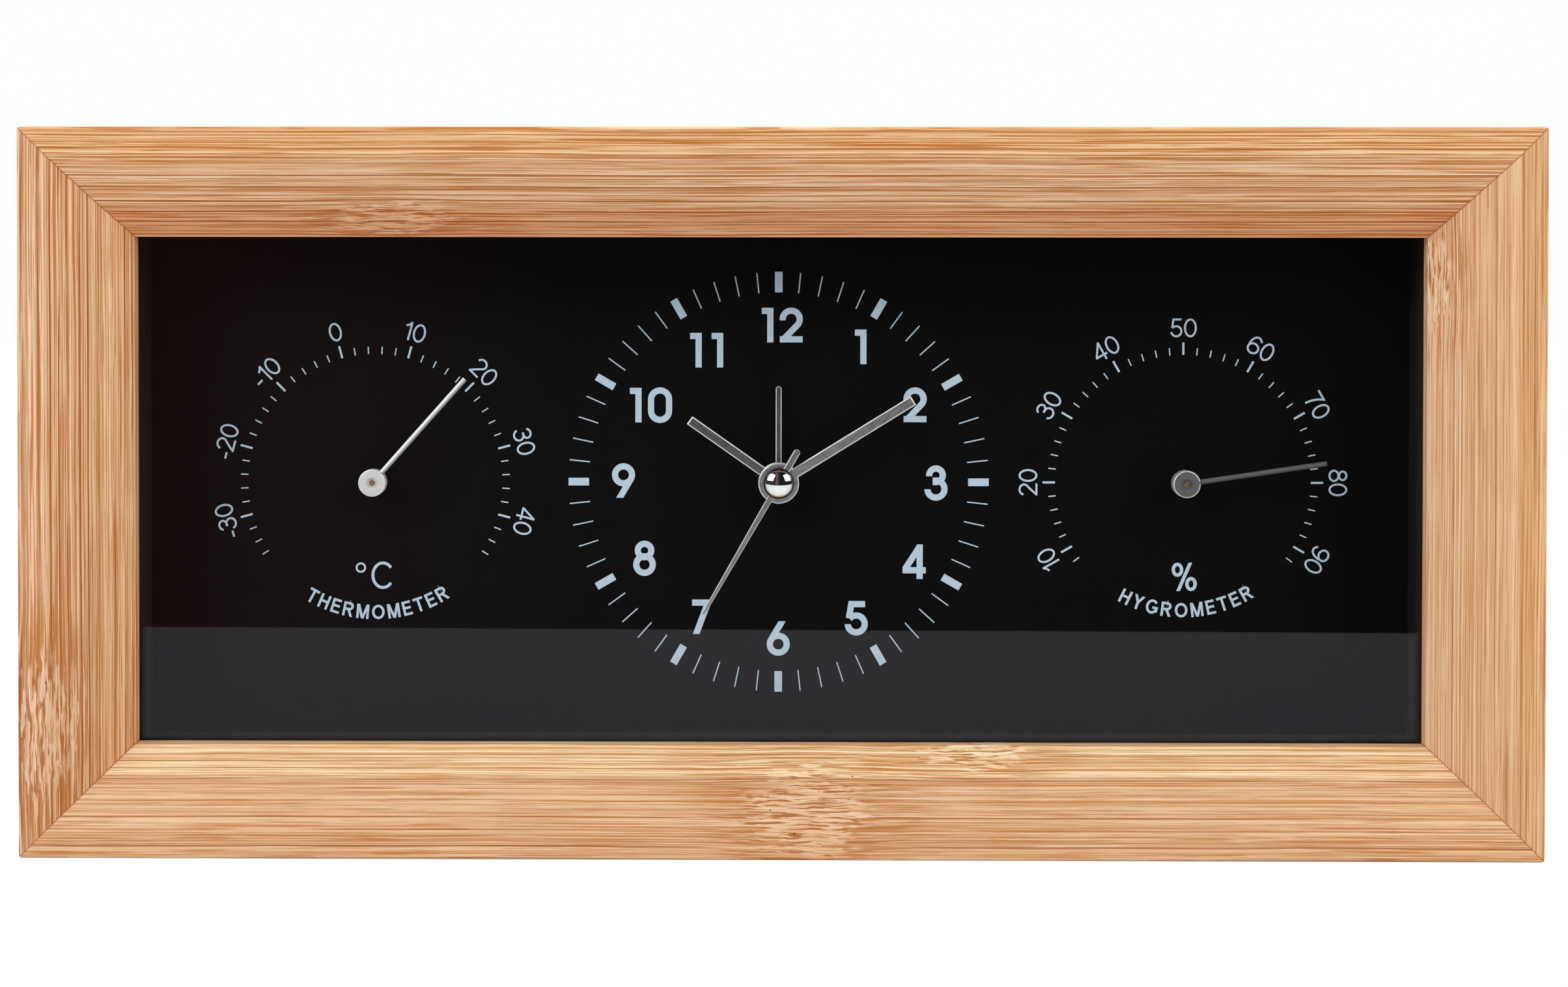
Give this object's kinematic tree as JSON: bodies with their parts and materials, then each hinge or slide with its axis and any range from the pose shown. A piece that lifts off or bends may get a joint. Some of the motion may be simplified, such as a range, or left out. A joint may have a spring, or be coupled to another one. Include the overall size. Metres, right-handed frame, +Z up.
{
  "type": "thermometer hygrometer clock",
  "caption": "Low wide wooden frame with a thermometer, an alarm clock and a hygrometer side by side on a black dial behind glass.",
  "frame": {"origin": "middle of the base", "axes": "+X to the viewer's right along the frame, +Y away from the viewer, +Z up"},
  "size_m": [0.25, 0.05, 0.12],
  "materials": {
    "bamboo": "sanded, clear oil",
    "glass": "clear, polished",
    "spacer_black": "matt black",
    "dial_black": "matt black print on card",
    "hardboard": "raw hardboard",
    "print_light": "pale grey-blue print",
    "pine": "raw",
    "steel": "zinc plated",
    "iron": "rolled sheet",
    "foam": "white foam tape",
    "case_plastic": "black, fine texture",
    "wheel_plastic": "natural white",
    "copper": "enamelled winding wire",
    "circuit": "green lacquer",
    "battery_wrap": "plain wrap",
    "aluminium": "brushed",
    "chrome": "polished",
    "brass": "turned",
    "zinc": "pressed sheet",
    "bimetal": "rolled strip"
  },
  "bodies": {
    "frame": {"top_rail": "bamboo", "right_rail": "bamboo", "bottom_rail": "bamboo", "left_rail": "bamboo", "corner_nails": "steel", "front_glass": "glass", "spacer_top": "spacer_black", "spacer_bottom": "spacer_black", "spacer_left": "spacer_black", "spacer_right": "spacer_black", "dial_sheet": "dial_black", "dial_board": "hardboard", "clock_marks": "print_light", "thermometer_marks": "print_light", "hygrometer_marks": "print_light", "upper_retainer": "pine", "lower_retainer": "pine", "back_panel": "hardboard", "back_panel_screws": "steel", "movement_tape": "foam", "movement_case": "case_plastic", "movement_cover": "case_plastic", "movement_screws": "steel", "middle_plate": "wheel_plastic", "rear_plate": "wheel_plastic", "stator": "iron", "coil_core": "iron", "coil": "copper", "buzzer": "brass", "circuit_board": "circuit", "quartz_crystal": "steel", "battery_cell": "battery_wrap", "battery_contact_plus": "steel", "battery_contact_minus": "steel", "thermometer_cup": "zinc", "thermometer_strip": "bimetal", "hygrometer_cup": "zinc", "hygrometer_strip": "bimetal"},
    "second_hand_body": {"second_hand": "aluminium", "centre_cap": "chrome", "second_wheel": "wheel_plastic"},
    "minute_hand_body": {"minute_hand": "aluminium", "cannon_tube": "wheel_plastic"},
    "hour_hand_body": {"hour_hand": "aluminium", "hour_wheel": "wheel_plastic"},
    "alarm_hand_body": {"alarm_hand": "aluminium", "alarm_wheel": "wheel_plastic"},
    "rotor_body": {"rotor": "iron"},
    "intermediate_body": {"intermediate_wheel": "wheel_plastic"},
    "third_body": {"third_wheel": "wheel_plastic"},
    "centre_wheel_body": {"centre_wheel": "wheel_plastic"},
    "minute_wheel_body": {"minute_wheel": "wheel_plastic"},
    "time_set_body": {"time_set_knob": "wheel_plastic"},
    "alarm_set_body": {"alarm_set_knob": "wheel_plastic"},
    "thermometer_body": {"thermometer_pointer": "aluminium", "thermometer_arbor": "brass"},
    "hygrometer_body": {"hygrometer_pointer": "aluminium", "hygrometer_arbor": "brass"},
    "alarm_switch_body": {"alarm_switch": "wheel_plastic"},
    "battery_door_body": {"battery_door": "case_plastic"}
  },
  "joints": [
    {"name": "second_hand_spin", "type": "hinge", "parent": "frame", "child": "second_hand_body", "pos_m": [0, 0, 0.0606], "axis": [0, 1, 0], "continuous": true},
    {"name": "rotor_spin", "type": "hinge", "parent": "frame", "child": "rotor_body", "pos_m": [0.01438, 0, 0.06015], "axis": [0, 1, 0], "continuous": true},
    {"name": "intermediate_spin", "type": "hinge", "parent": "frame", "child": "intermediate_body", "pos_m": [0.00847, 0, 0.05911], "axis": [0, 1, 0], "continuous": true},
    {"name": "third_spin", "type": "hinge", "parent": "frame", "child": "third_body", "pos_m": [-0.00837, 0, 0.05912], "axis": [0, 1, 0], "continuous": true},
    {"name": "centre_wheel_spin", "type": "hinge", "parent": "frame", "child": "centre_wheel_body", "pos_m": [0, 0, 0.0606], "axis": [0, 1, 0], "continuous": true},
    {"name": "minute_hand_spin", "type": "hinge", "parent": "frame", "child": "minute_hand_body", "pos_m": [0, 0, 0.0606], "axis": [0, 1, 0], "continuous": true},
    {"name": "minute_wheel_spin", "type": "hinge", "parent": "frame", "child": "minute_wheel_body", "pos_m": [0.00617, 0, 0.06795], "axis": [0, 1, 0], "continuous": true},
    {"name": "hour_hand_spin", "type": "hinge", "parent": "frame", "child": "hour_hand_body", "pos_m": [0, 0, 0.0606], "axis": [0, 1, 0], "continuous": true},
    {"name": "time_set_spin", "type": "hinge", "parent": "frame", "child": "time_set_body", "pos_m": [0.00701, 0, 0.07752], "axis": [0, 1, 0], "continuous": true},
    {"name": "alarm_hand_spin", "type": "hinge", "parent": "frame", "child": "alarm_hand_body", "pos_m": [0, 0, 0.0606], "axis": [0, 1, 0], "continuous": true},
    {"name": "alarm_set_spin", "type": "hinge", "parent": "frame", "child": "alarm_set_body", "pos_m": [-0.00771, 0, 0.06979], "axis": [0, 1, 0], "continuous": true},
    {"name": "thermometer_pointer_swing", "type": "hinge", "parent": "frame", "child": "thermometer_body", "pos_m": [-0.069, 0, 0.0606], "axis": [0, 1, 0], "range_deg": [-164.7, 81.3], "stiffness_Nm_per_rad": 0.0001},
    {"name": "hygrometer_pointer_swing", "type": "hinge", "parent": "frame", "child": "hygrometer_body", "pos_m": [0.069, 0, 0.0606], "axis": [0, 1, 0], "range_deg": [-207.6, 44.4], "stiffness_Nm_per_rad": 0.0001},
    {"name": "alarm_switch_slide", "type": "slide", "parent": "frame", "child": "alarm_switch_body", "axis": [1, 0, 0], "range_m": [0, 0.003]},
    {"name": "battery_door_slide", "type": "slide", "parent": "frame", "child": "battery_door_body", "axis": [0, 0, -1], "range_m": [0, 0.003]}
  ],
  "couplings": [
    {"joint": "rotor_spin", "follows": "second_hand_spin", "ratio": 30},
    {"joint": "intermediate_spin", "follows": "second_hand_spin", "ratio": -6},
    {"joint": "third_spin", "follows": "second_hand_spin", "ratio": -0.13333},
    {"joint": "centre_wheel_spin", "follows": "second_hand_spin", "ratio": 0.016667},
    {"joint": "minute_wheel_spin", "follows": "minute_hand_spin", "ratio": -0.33333},
    {"joint": "hour_hand_spin", "follows": "minute_hand_spin", "ratio": 0.083333},
    {"joint": "time_set_spin", "follows": "minute_hand_spin", "ratio": 1},
    {"joint": "alarm_set_spin", "follows": "alarm_hand_spin", "ratio": -2}
  ]
}
